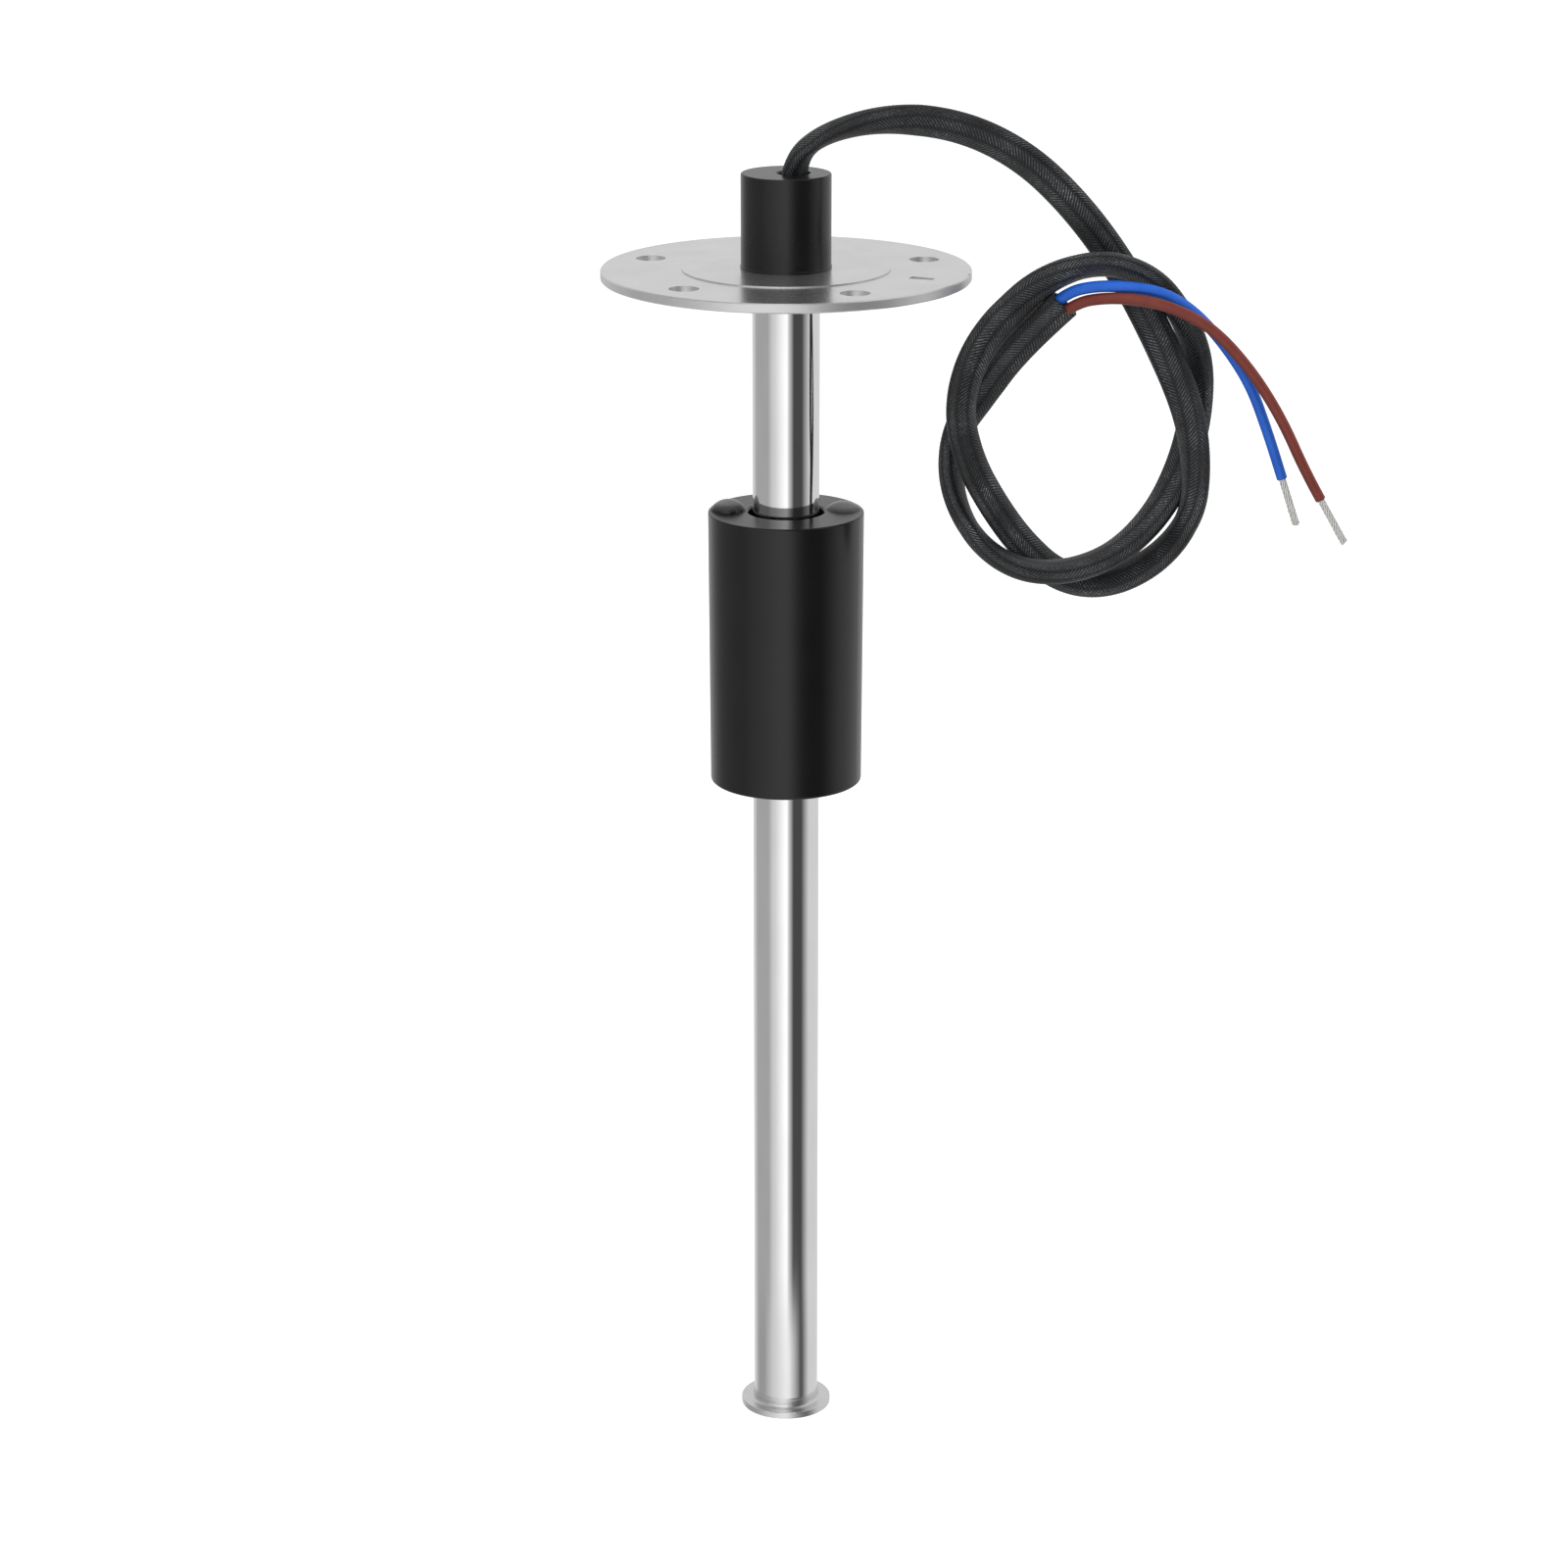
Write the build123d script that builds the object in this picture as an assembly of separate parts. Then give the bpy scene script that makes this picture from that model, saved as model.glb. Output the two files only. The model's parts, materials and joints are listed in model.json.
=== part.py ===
from build123d import *
import math
import os

os.makedirs("parts", exist_ok=True)

# Fuel level sender for the top of a tank. Millimetres throughout.
# Origin: centre of the flange's underside, which is the face that seats on the tank.
# +Z points up out of the tank, +X to the index mark between the two widest-spaced holes.

# Mounting flange: a flat stainless disc with a shallow raised land on top
FLANGE_DIAMETER = 68.0
FLANGE_THICKNESS = 1.8
FLANGE_EDGE_BREAK = 0.2
LAND_DIAMETER = 38.4
LAND_HEIGHT = 0.2
HOLE_CIRCLE_DIAMETER = 54.0
HOLE_DIAMETER = 5.5
HOLE_ANGLES = (41.0, 110.5, 180.0, -110.5, -41.0)
INDEX_MARK_INNER = 24.2
INDEX_MARK_LENGTH = 4.6
INDEX_MARK_INNER_WIDTH = 2.2
INDEX_MARK_OUTER_WIDTH = 1.7
INDEX_MARK_DEPTH = 0.6
RIM_NOTCH_ANGLE = 11.4
RIM_NOTCH_DIAMETER = 1.0

# Stem: the thin-walled tube that the float rides on, welded under the flange
TUBE_DIAMETER = 12.5
TUBE_WALL = 0.8
TUBE_BELOW_SEAT = 223.0
TUBE_ABOVE_LAND = 12.4
WELD_LEG = 1.0
WELD_BEVEL_DEPTH = 0.8

# Foot: a turned plug that closes the tube and stops the float
FOOT_DIAMETER = 17.5
FOOT_THICKNESS = 1.3
FOOT_ROUNDING = 0.2
FOOT_EDGE_BREAK = 0.1
COLLAR_DIAMETER = 12.8
COLLAR_HEIGHT = 1.8
COLLAR_FILLET = 0.6
SPIGOT_LENGTH = 8.0
SPIGOT_LEAD_IN = 0.6

# Terminal cap: a moulded cup glued over the tube's upper end
CAP_DIAMETER = 16.6
CAP_HEIGHT = 17.3
CAP_TOP_THICKNESS = 2.0
CAP_ROUNDING = 0.3
CAP_LEAD_IN = 0.4
CAP_LIP_DIAMETER = 16.8
CAP_LIP_HEIGHT = 0.4
CABLE_HOLE_OFFSET = 1.3
CABLE_HOLE_CLEARANCE = 0.2
CABLE_HOLE_EDGE_BREAK = 0.3

# Float: closed-cell foam, a little narrower at its lower end as it leaves its mould,
# with two magnet pockets sealed by resin domes
FLOAT_TOP_DIAMETER = 29.1
FLOAT_BOTTOM_DIAMETER = 28.5
FLOAT_LENGTH = 52.2
FLOAT_TOP_BELOW_SEAT = 43.8
FLOAT_RUNNING_CLEARANCE = 0.85
FLOAT_TOP_ROUNDING = 0.3
FLOAT_BOTTOM_ROUNDING = 0.6
FLOAT_BORE_CHAMFER = 0.3
MAGNET_DIAMETER = 5.0
MAGNET_LENGTH = 20.0
MAGNET_DEPTH = 14.0
DOME_DIAMETER = 6.8
# Each pocket: angle from the cable's plane, and the height of the resin dome over it
POCKETS = (("right", 9.0, 1.4), ("left", 175.0, 2.0))

# Reed board inside the tube
BOARD_WIDTH = 8.0
BOARD_THICKNESS = 1.0
BOARD_CORNER = 0.8
BOARD_TOP_BELOW_SEAT = 3.0
REED_PITCH = 20.5
FIRST_REED_BELOW_SEAT = 30.0
LAST_REED_ABOVE_FOOT = 26.0
REED_GLASS_DIAMETER = 1.8
REED_GLASS_LENGTH = 10.0
REED_GLASS_ROUNDING = 0.7
REED_LEAD_DIAMETER = 0.5
REED_LEAD_SPAN = 14.4
REED_LEAD_BEND = 0.7
REED_STAND_OFF = 0.3
REED_TAIL = 0.6
REED_HOLE_CLEARANCE = 0.15
RESISTOR_LENGTH = 3.2
RESISTOR_WIDTH = 1.6
RESISTOR_HEIGHT = 0.55
RESISTOR_END_CAP = 0.5
RESISTOR_PLATING = 0.05
SPACER_HEIGHT = 6.0
SPACER_SLOT_DEPTH = 4.0

# Potting resin from the tube's upper end into the cap
POTTING_BELOW_SEAT = 8.0
POTTING_MENISCUS = 0.1

# Cable: a braided sleeve over two wires, with bare tinned ends
SLEEVE_DIAMETER = 5.4
SLEEVE_IN_CAP = 3.5
WIRE_DIAMETER = 2.1
WIRE_SPACING = 2.3
CONDUCTOR_DIAMETER = 1.1
BLUE_CONDUCTOR_LENGTH = 9.6
BROWN_CONDUCTOR_LENGTH = 9.8
CABLE_PLANE_ANGLE = 22.0
SHARE_OF_RUN_IN_ARC = 0.45
LEAD_STRIPPED_LENGTH = 3.0
LEAD_STRIPPED_DIAMETER = 1.0
LEAD_JOG = 2.0

# Fits between pieces that do not move on each other
FIT = 0.05
CAP_FIT = 0.1

# Places worked out from the sizes above
tube_radius = TUBE_DIAMETER / 2
tube_bore_radius = tube_radius - TUBE_WALL
land_top = FLANGE_THICKNESS + LAND_HEIGHT
tube_top = land_top + TUBE_ABOVE_LAND
weld_radius = tube_radius + WELD_LEG
collar_top = -TUBE_BELOW_SEAT
foot_top = collar_top - COLLAR_HEIGHT
foot_bottom = foot_top - FOOT_THICKNESS
cap_top = land_top + CAP_HEIGHT
cap_ceiling = cap_top - CAP_TOP_THICKNESS
cap_bore_radius = tube_radius + CAP_FIT
cable_hole_radius = SLEEVE_DIAMETER / 2 + CABLE_HOLE_CLEARANCE
sleeve_start = cap_top - SLEEVE_IN_CAP
float_top = -FLOAT_TOP_BELOW_SEAT
float_bottom = float_top - FLOAT_LENGTH
float_bore_radius = tube_radius + FLOAT_RUNNING_CLEARANCE
float_top_flat_inner = float_bore_radius + FLOAT_BORE_CHAMFER
float_top_flat_outer = FLOAT_TOP_DIAMETER / 2 - FLOAT_TOP_ROUNDING
pocket_circle_radius = (float_top_flat_inner + float_top_flat_outer) / 2
pocket_radius = MAGNET_DIAMETER / 2 + FIT
spigot_top = collar_top + SPIGOT_LENGTH
spacer_top = spigot_top + SPACER_HEIGHT
board_top = -BOARD_TOP_BELOW_SEAT
board_bottom = spacer_top - SPACER_SLOT_DEPTH + FIT
# As many reeds as the stem has room for
reed_span = TUBE_BELOW_SEAT - FIRST_REED_BELOW_SEAT - LAST_REED_ABOVE_FOOT
reed_count = 1 + int(reed_span / REED_PITCH)
# The board stands just behind the wires, which come down beside the tube's axis
board_front = WIRE_DIAMETER / 2 + FIT
board_back = board_front + BOARD_THICKNESS
reed_depth = board_front - REED_STAND_OFF - REED_GLASS_DIAMETER / 2
wire_offsets = {"blue": -WIRE_SPACING / 2, "brown": WIRE_SPACING / 2}

# The cable's route, chosen by eye: out from the cable hole, up from the cap's top, and
# to the back. The sleeve leaves the cap, falls away and lies in two interlaced turns.
SLEEVE_ROUTE = (
    (0.0, -SLEEVE_IN_CAP, 0.0), (0.0, 1.9, 0.0), (4.6, 6.9, 0.0), (16.3, 10.1, 0.0),
    (29.8, 8.8, 0.4), (41.8, 3.0, 1.6), (51.7, -6.5, 3.6), (60.3, -18.0, 4.4),
    (67.2, -30.3, 0.2), (72.6, -42.5, -3.4), (74.6, -52.9, -3.4), (74.4, -63.7, -1.6),
    (68.4, -72.8, 0.8), (59.0, -78.0, 2.8), (49.9, -76.8, 3.4), (42.8, -70.1, 2.4),
    (37.3, -62.0, -0.2), (32.7, -53.2, -3.0), (30.3, -43.3, -3.5), (32.5, -33.5, -3.2),
    (37.9, -25.6, -2.8), (45.7, -18.6, -2.4), (56.0, -15.6, -2.2), (65.5, -18.6, -1.6),
    (71.5, -25.9, -0.2), (75.0, -34.7, 2.0), (75.0, -45.0, 3.4), (72.8, -54.9, 3.2),
    (67.8, -64.4, 1.0), (60.0, -71.3, -1.8), (50.4, -74.4, -3.2), (40.9, -73.5, -3.2),
    (33.1, -67.7, -1.4), (29.1, -58.6, 1.4), (30.0, -49.0, 3.3), (34.3, -42.1, 3.5),
    (41.1, -32.0, 1.4), (49.4, -23.6, -1.4),
)
BLUE_ROUTE = (
    (46.9, -24.6, -0.9), (50.0, -21.5, -2.4), (54.9, -19.9, -4.7), (60.6, -19.8, -5.7),
    (67.3, -20.8, -5.9), (73.2, -24.4, -5.9), (78.9, -30.7, -5.8), (83.8, -38.1, -5.8),
    (87.0, -46.4, -5.6), (88.9, -51.8, -5.3), (90.2, -55.7, -5.2),
)
BROWN_ROUTE = (
    (48.6, -26.2, -0.9), (51.7, -23.4, -2.6), (56.6, -22.0, -5.2), (62.5, -21.8, -7.4),
    (69.1, -23.2, -8.5), (76.3, -26.9, -8.8), (83.4, -34.6, -8.6), (89.4, -43.8, -8.0),
    (94.1, -53.8, -7.4), (97.2, -59.2, -7.2),
)


def turned(*profile):
    """A solid turned about Z from (radius, height) points."""
    outline = Polyline(*[(radius, 0, height) for radius, height in profile], close=True)
    return revolve(make_face(outline), Axis.Z)


def rod(radius, bottom, top, across=0.0, back=0.0):
    """An upright cylinder between two heights."""
    return Pos(across, back, (bottom + top) / 2) * Cylinder(radius, top - bottom)


def block(width, depth, bottom, top, across=0.0, back=0.0):
    """An upright rectangular block between two heights."""
    return Pos(across, back, (bottom + top) / 2) * Box(width, depth, top - bottom)


def ring_edges(solid, radius, height):
    """The circular edges of one radius at one height."""
    near = 1e-3
    circles = solid.edges().filter_by(GeomType.CIRCLE)
    return circles.filter_by(
        lambda edge: abs(edge.radius - radius) < near and abs(edge.center().Z - height) < near
    )


def in_cable_plane(solid):
    """Turn a solid that was drawn square to X and Y to face along the cable's plane."""
    return Rot(0, 0, CABLE_PLANE_ANGLE) * solid


def cable_point(out, up, back):
    """A route point, given from the mouth of the cable hole, in the part's frame."""
    along = CABLE_HOLE_OFFSET + out
    angle = math.radians(CABLE_PLANE_ANGLE)
    return Vector(
        along * math.cos(angle) - back * math.sin(angle),
        along * math.sin(angle) + back * math.cos(angle),
        cap_top + up,
    )


def arc_radii(points):
    """The radius at each corner, as large as the two runs beside it allow."""
    radii = []
    for before, corner, after in zip(points, points[1:], points[2:]):
        shorter = min((corner - before).length, (after - corner).length)
        half_turn = math.radians((corner - before).get_angle(after - corner)) / 2
        radii.append(SHARE_OF_RUN_IN_ARC * shorter / math.tan(half_turn))
    return radii


def swept_cord(name, points, diameter):
    """A round cord along straight runs joined by tangent arcs."""
    radii = arc_radii(points)
    path = FilletPolyline(*points, radius=radii)
    section = Plane(origin=path @ 0, z_dir=path % 0) * Circle(diameter / 2)
    cord = sweep(section, path=path)
    expected = math.pi * diameter**2 / 4 * path.length
    print(name, "length", round(path.length, 1), "volume over expected", round(cord.volume / expected, 4))
    print("  radii", [round(radius, 1) for radius in radii])
    return cord


def mounting_flange():
    radius = FLANGE_DIAMETER / 2
    centre_hole = tube_radius + FIT
    bevel = weld_radius + FIT
    disc = turned(
        (centre_hole, WELD_BEVEL_DEPTH), (bevel, 0), (radius, 0), (radius, FLANGE_THICKNESS),
        (LAND_DIAMETER / 2, FLANGE_THICKNESS), (LAND_DIAMETER / 2, land_top), (centre_hole, land_top),
    )
    for height in (0, FLANGE_THICKNESS):
        disc = chamfer(ring_edges(disc, radius, height), FLANGE_EDGE_BREAK)
    for angle in HOLE_ANGLES:
        disc -= Rot(0, 0, angle) * rod(
            HOLE_DIAMETER / 2, -FLANGE_THICKNESS, 2 * FLANGE_THICKNESS, across=HOLE_CIRCLE_DIAMETER / 2
        )
    mark_outer = INDEX_MARK_INNER + INDEX_MARK_LENGTH
    mark = make_face(Polyline(
        (INDEX_MARK_INNER, -INDEX_MARK_INNER_WIDTH / 2, FLANGE_THICKNESS),
        (mark_outer, -INDEX_MARK_OUTER_WIDTH / 2, FLANGE_THICKNESS),
        (mark_outer, INDEX_MARK_OUTER_WIDTH / 2, FLANGE_THICKNESS),
        (INDEX_MARK_INNER, INDEX_MARK_INNER_WIDTH / 2, FLANGE_THICKNESS),
        close=True,
    ))
    disc -= extrude(mark, amount=INDEX_MARK_DEPTH, both=True)
    disc -= Rot(0, 0, RIM_NOTCH_ANGLE) * rod(
        RIM_NOTCH_DIAMETER / 2, -FLANGE_THICKNESS, 2 * FLANGE_THICKNESS, across=radius
    )
    return disc


def stem_tube():
    return rod(tube_radius, collar_top, tube_top) - rod(tube_bore_radius, collar_top, tube_top)


def flange_weld():
    """A bead that fills the bevel around the flange's bore and stands a little below it."""
    return turned((tube_radius, WELD_BEVEL_DEPTH), (weld_radius, 0), (tube_radius, -WELD_LEG))


def end_plug():
    foot_radius = FOOT_DIAMETER / 2
    collar_radius = COLLAR_DIAMETER / 2
    spigot_radius = tube_bore_radius - FIT
    plug = turned(
        (0, foot_bottom), (foot_radius, foot_bottom), (foot_radius, foot_top),
        (collar_radius, foot_top), (collar_radius, collar_top),
        (spigot_radius, collar_top), (spigot_radius, spigot_top), (0, spigot_top),
    )
    plug = fillet(ring_edges(plug, collar_radius, foot_top), COLLAR_FILLET)
    plug = fillet(ring_edges(plug, foot_radius, foot_top), FOOT_ROUNDING)
    plug = chamfer(ring_edges(plug, foot_radius, foot_bottom), FOOT_EDGE_BREAK)
    return chamfer(ring_edges(plug, spigot_radius, spigot_top), SPIGOT_LEAD_IN)


def terminal_cap():
    cap_radius = CAP_DIAMETER / 2
    lip_radius = CAP_LIP_DIAMETER / 2
    lip_top = land_top + CAP_LIP_HEIGHT
    lip_slope = lip_radius - cap_radius
    cap = turned(
        (cap_bore_radius, land_top), (lip_radius, land_top), (lip_radius, lip_top),
        (cap_radius, lip_top + lip_slope), (cap_radius, cap_top), (0, cap_top),
        (0, cap_ceiling), (cap_bore_radius, cap_ceiling),
    )
    cap = fillet(ring_edges(cap, cap_radius, cap_top), CAP_ROUNDING)
    cap = chamfer(ring_edges(cap, cap_bore_radius, land_top), CAP_LEAD_IN)
    cap -= rod(cable_hole_radius, cap_ceiling, cap_top, across=CABLE_HOLE_OFFSET)
    cap = chamfer(ring_edges(cap, cable_hole_radius, cap_top), CABLE_HOLE_EDGE_BREAK)
    return in_cable_plane(cap)


def potting():
    bottom = -POTTING_BELOW_SEAT
    in_tube = rod(tube_bore_radius - FIT, bottom, tube_top)
    in_cap = rod(cap_bore_radius - FIT, tube_top, cap_ceiling - POTTING_MENISCUS)
    resin = in_tube + in_cap
    resin -= rod(SLEEVE_DIAMETER / 2 + FIT, sleeve_start, cap_ceiling, across=CABLE_HOLE_OFFSET)
    for offset in wire_offsets.values():
        resin -= rod(WIRE_DIAMETER / 2 + FIT, bottom, sleeve_start, across=CABLE_HOLE_OFFSET + offset)
    board_middle = (board_front + board_back) / 2
    resin -= block(
        BOARD_WIDTH + 2 * FIT, BOARD_THICKNESS + 2 * FIT, bottom, board_top + FIT, back=board_middle
    )
    return in_cable_plane(resin)


def board_lead(offset):
    """A wire's stretch inside the stem: insulated, then stripped and laid on its pad."""
    across = CABLE_HOLE_OFFSET + offset
    insulation_end = -POTTING_BELOW_SEAT - LEAD_JOG
    pad_depth = board_front - LEAD_STRIPPED_DIAMETER / 2 - FIT
    jog_end = insulation_end - LEAD_JOG
    insulated = rod(WIRE_DIAMETER / 2, insulation_end, sleeve_start, across=across)
    path = FilletPolyline(
        (across, 0, insulation_end + LEAD_JOG),
        (across, 0, insulation_end - LEAD_STRIPPED_DIAMETER / 4),
        (across, pad_depth, jog_end),
        (across, pad_depth, jog_end - LEAD_STRIPPED_LENGTH),
        radius=LEAD_STRIPPED_DIAMETER,
    )
    section = Plane(origin=path @ 0, z_dir=path % 0) * Circle(LEAD_STRIPPED_DIAMETER / 2)
    return in_cable_plane(insulated + sweep(section, path=path))


def reed_heights():
    return [-(FIRST_REED_BELOW_SEAT + REED_PITCH * index) for index in range(reed_count)]


def reed_board():
    board_middle = (board_front + board_back) / 2
    board = block(BOARD_WIDTH, BOARD_THICKNESS, board_bottom, board_top, back=board_middle)
    upright_corners = board.edges().filter_by(Axis.Y)
    board = chamfer(upright_corners, BOARD_CORNER)
    hole = REED_LEAD_DIAMETER / 2 + REED_HOLE_CLEARANCE
    for height in reed_heights():
        for end in (-REED_LEAD_SPAN / 2, REED_LEAD_SPAN / 2):
            drill = Rot(90, 0, 0) * Cylinder(hole, 3 * BOARD_THICKNESS)
            board -= Pos(0, board_middle, height + end) * drill
    return in_cable_plane(board)


def reed_switch(height):
    """A glass capsule on two leads that are bent back through the board."""
    glass = rod(REED_GLASS_DIAMETER / 2, height - REED_GLASS_LENGTH / 2, height + REED_GLASS_LENGTH / 2)
    glass = fillet(glass.edges().filter_by(GeomType.CIRCLE), REED_GLASS_ROUNDING)
    glass = Pos(0, reed_depth, 0) * glass
    half_span = REED_LEAD_SPAN / 2
    tail = board_back + REED_TAIL
    path = FilletPolyline(
        (0, tail, height + half_span), (0, reed_depth, height + half_span),
        (0, reed_depth, height - half_span), (0, tail, height - half_span),
        radius=REED_LEAD_BEND,
    )
    section = Plane(origin=path @ 0, z_dir=path % 0) * Circle(REED_LEAD_DIAMETER / 2)
    return in_cable_plane(glass + sweep(section, path=path))


def resistor(height):
    """A chip resistor on the board's back, with its plated ends a little proud."""
    middle = board_back + RESISTOR_HEIGHT / 2 + RESISTOR_PLATING
    chip = block(
        RESISTOR_WIDTH, RESISTOR_HEIGHT, height - RESISTOR_LENGTH / 2, height + RESISTOR_LENGTH / 2, back=middle
    )
    for side in (-1, 1):
        outer = height + side * (RESISTOR_LENGTH / 2 + RESISTOR_PLATING)
        inner = height + side * (RESISTOR_LENGTH / 2 - RESISTOR_END_CAP)
        chip += block(
            RESISTOR_WIDTH + 2 * RESISTOR_PLATING, RESISTOR_HEIGHT + 2 * RESISTOR_PLATING,
            min(outer, inner), max(outer, inner), back=middle,
        )
    return in_cable_plane(chip)


def board_spacer():
    """The insulating disc that holds the board's lower end off the tube and the foot."""
    board_middle = (board_front + board_back) / 2
    disc = rod(tube_bore_radius - FIT, spigot_top, spacer_top)
    disc -= block(
        BOARD_WIDTH + 2 * FIT, BOARD_THICKNESS + 2 * FIT,
        spacer_top - SPACER_SLOT_DEPTH, spacer_top, back=board_middle,
    )
    return in_cable_plane(disc)


def float_body():
    top_radius = FLOAT_TOP_DIAMETER / 2
    bottom_radius = FLOAT_BOTTOM_DIAMETER / 2
    body = turned(
        (float_bore_radius, float_bottom), (bottom_radius, float_bottom),
        (top_radius, float_top), (float_bore_radius, float_top),
    )
    body = fillet(ring_edges(body, top_radius, float_top), FLOAT_TOP_ROUNDING)
    body = fillet(ring_edges(body, bottom_radius, float_bottom), FLOAT_BOTTOM_ROUNDING)
    for height in (float_bottom, float_top):
        body = chamfer(ring_edges(body, float_bore_radius, height), FLOAT_BORE_CHAMFER)
    pocket_bottom = float_top - MAGNET_DEPTH - MAGNET_LENGTH
    for _, angle, _ in POCKETS:
        body -= Rot(0, 0, CABLE_PLANE_ANGLE + angle) * rod(
            pocket_radius, pocket_bottom, float_top, across=pocket_circle_radius
        )
    return body


def float_magnet(angle):
    top = float_top - MAGNET_DEPTH
    magnet = rod(MAGNET_DIAMETER / 2, top - MAGNET_LENGTH, top, across=pocket_circle_radius)
    return Rot(0, 0, CABLE_PLANE_ANGLE + angle) * magnet


def magnet_seal(angle, dome_height):
    """Resin poured over a magnet, standing proud of the float as a shallow dome."""
    base = DOME_DIAMETER / 2
    sphere_radius = (base**2 + dome_height**2) / (2 * dome_height)
    centre_height = float_top + dome_height - sphere_radius
    dome = Pos(0, 0, centre_height) * Sphere(sphere_radius)
    dome &= rod(base, float_top, float_top + dome_height)
    neck = rod(pocket_radius - FIT, float_top - MAGNET_DEPTH, float_top)
    return Rot(0, 0, CABLE_PLANE_ANGLE + angle) * Pos(pocket_circle_radius, 0, 0) * (dome + neck)


def bare_end(points, length):
    """The stripped end of a wire, straight on from its last run."""
    direction = (points[-1] - points[-2]).normalized()
    end_plane = Plane(origin=points[-1], z_dir=direction)
    return extrude(end_plane * Circle(CONDUCTOR_DIAMETER / 2), amount=length)


pieces = {
    "mounting_flange": mounting_flange(),
    "stem_tube": stem_tube(),
    "flange_weld": flange_weld(),
    "end_plug": end_plug(),
    "terminal_cap": terminal_cap(),
    "potting": potting(),
    "reed_board": reed_board(),
    "board_spacer": board_spacer(),
    "float_body": float_body(),
}
for index, height in enumerate(reed_heights(), start=1):
    pieces[f"reed_switch_{index}"] = reed_switch(height)
for index in range(reed_count + 1):
    gap_height = -(FIRST_REED_BELOW_SEAT + REED_PITCH * (index - 0.5))
    pieces[f"resistor_{index + 1}"] = resistor(gap_height)
for side, angle, dome_height in POCKETS:
    pieces[f"float_magnet_{side}"] = float_magnet(angle)
    pieces[f"magnet_seal_{side}"] = magnet_seal(angle, dome_height)
for colour, offset in wire_offsets.items():
    pieces[f"board_lead_{colour}"] = board_lead(offset)

sleeve_points = [cable_point(*point) for point in SLEEVE_ROUTE]
pieces["cable_sleeve"] = swept_cord("cable_sleeve", sleeve_points, SLEEVE_DIAMETER)
wires = (("blue", BLUE_ROUTE, BLUE_CONDUCTOR_LENGTH), ("brown", BROWN_ROUTE, BROWN_CONDUCTOR_LENGTH))
for colour, route, bare_length in wires:
    points = [cable_point(*point) for point in route]
    wire = swept_cord(f"wire_{colour}", points, WIRE_DIAMETER)
    # The wire starts inside the sleeve's open end and shows from its face on
    pieces[f"wire_{colour}"] = wire - pieces["cable_sleeve"]
    pieces[f"conductor_{colour}"] = bare_end(points, bare_length)

for name, piece in pieces.items():
    export_step(piece, f"parts/{name}.step")
print(len(pieces), "pieces")
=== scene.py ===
import json
import math
import random

import bpy
import numpy as np
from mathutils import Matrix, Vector


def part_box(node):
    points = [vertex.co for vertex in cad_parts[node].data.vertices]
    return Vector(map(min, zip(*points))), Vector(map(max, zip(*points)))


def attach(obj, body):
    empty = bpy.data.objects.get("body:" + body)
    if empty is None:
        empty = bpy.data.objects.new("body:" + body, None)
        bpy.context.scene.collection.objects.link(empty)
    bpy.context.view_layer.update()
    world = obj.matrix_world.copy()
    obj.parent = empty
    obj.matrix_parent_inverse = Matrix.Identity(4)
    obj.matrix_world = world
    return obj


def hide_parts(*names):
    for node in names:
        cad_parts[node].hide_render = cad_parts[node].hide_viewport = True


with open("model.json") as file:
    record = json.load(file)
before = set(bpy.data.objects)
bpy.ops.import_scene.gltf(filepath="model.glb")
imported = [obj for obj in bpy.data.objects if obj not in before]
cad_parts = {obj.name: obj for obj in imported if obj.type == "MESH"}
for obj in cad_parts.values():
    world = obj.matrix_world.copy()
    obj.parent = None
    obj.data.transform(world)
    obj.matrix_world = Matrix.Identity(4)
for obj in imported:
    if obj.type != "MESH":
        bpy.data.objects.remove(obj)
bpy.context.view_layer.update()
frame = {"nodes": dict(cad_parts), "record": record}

# Lengths are in metres, in the part's own frame: the origin is the centre of the flange's
# underside, and +Z points up out of the tank.
MM = 0.001
random.seed(7)

# The photograph's side of the object. The cable lies in a plane that stands square to the
# camera. The camera has no lens shift, so it stands farther off and looks down more
# steeply than the photograph's own.
VIEW_AZIMUTH = math.radians(22.0)
CAMERA_PITCH = math.radians(17.653)
CAMERA_ASIDE = -0.38 * MM
CAMERA_BACK = 752.78 * MM
CAMERA_UP = 142.35 * MM
SENSOR_WIDTH = 36.0
LENS = 95.391
NEAR_CLIP = 0.01
FAR_CLIP = 50

RIGHT = Vector((math.cos(VIEW_AZIMUTH), math.sin(VIEW_AZIMUTH), 0))
AWAY = Vector((-math.sin(VIEW_AZIMUTH), math.cos(VIEW_AZIMUTH), 0))
UP = Vector((0, 0, 1))


def make_camera():
    data = bpy.data.cameras.new("camera")
    data.sensor_width = SENSOR_WIDTH
    data.lens = LENS
    data.clip_start = NEAR_CLIP
    data.clip_end = FAR_CLIP
    camera = bpy.data.objects.new("camera", data)
    camera.location = RIGHT * CAMERA_ASIDE - AWAY * CAMERA_BACK + UP * CAMERA_UP
    camera.rotation_euler = (math.pi / 2 - CAMERA_PITCH, 0, VIEW_AZIMUTH)
    bpy.context.scene.collection.objects.link(camera)
    bpy.context.scene.camera = camera


make_camera()

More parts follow.
